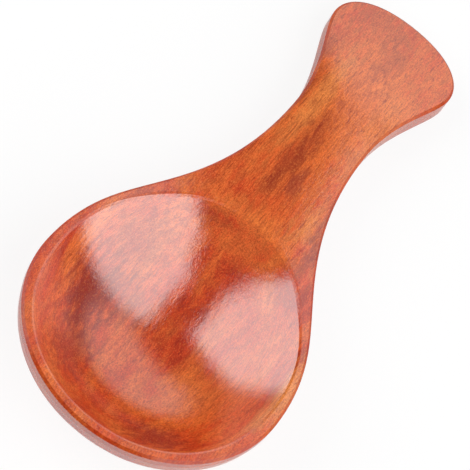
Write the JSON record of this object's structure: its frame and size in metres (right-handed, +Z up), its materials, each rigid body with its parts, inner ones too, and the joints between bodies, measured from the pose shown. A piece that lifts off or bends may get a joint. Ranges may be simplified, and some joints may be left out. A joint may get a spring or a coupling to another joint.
{
  "type": "measuring spoon",
  "caption": "Short wooden measuring spoon with a deep egg-shaped bowl and a flared flat handle, carved from one piece.",
  "frame": {"origin": "middle of the spoon's length and width, on the surface it rests on", "axes": "+X from the bowl to the end of the handle, +Z up, as the spoon rests on its bowl and the end of its handle"},
  "size_m": [0.103, 0.0516, 0.0229],
  "materials": {
    "lacquered_wood": "stained orange-brown and gloss lacquered"
  },
  "bodies": {
    "root": {"carved_spoon": "lacquered_wood"}
  },
  "joints": []
}
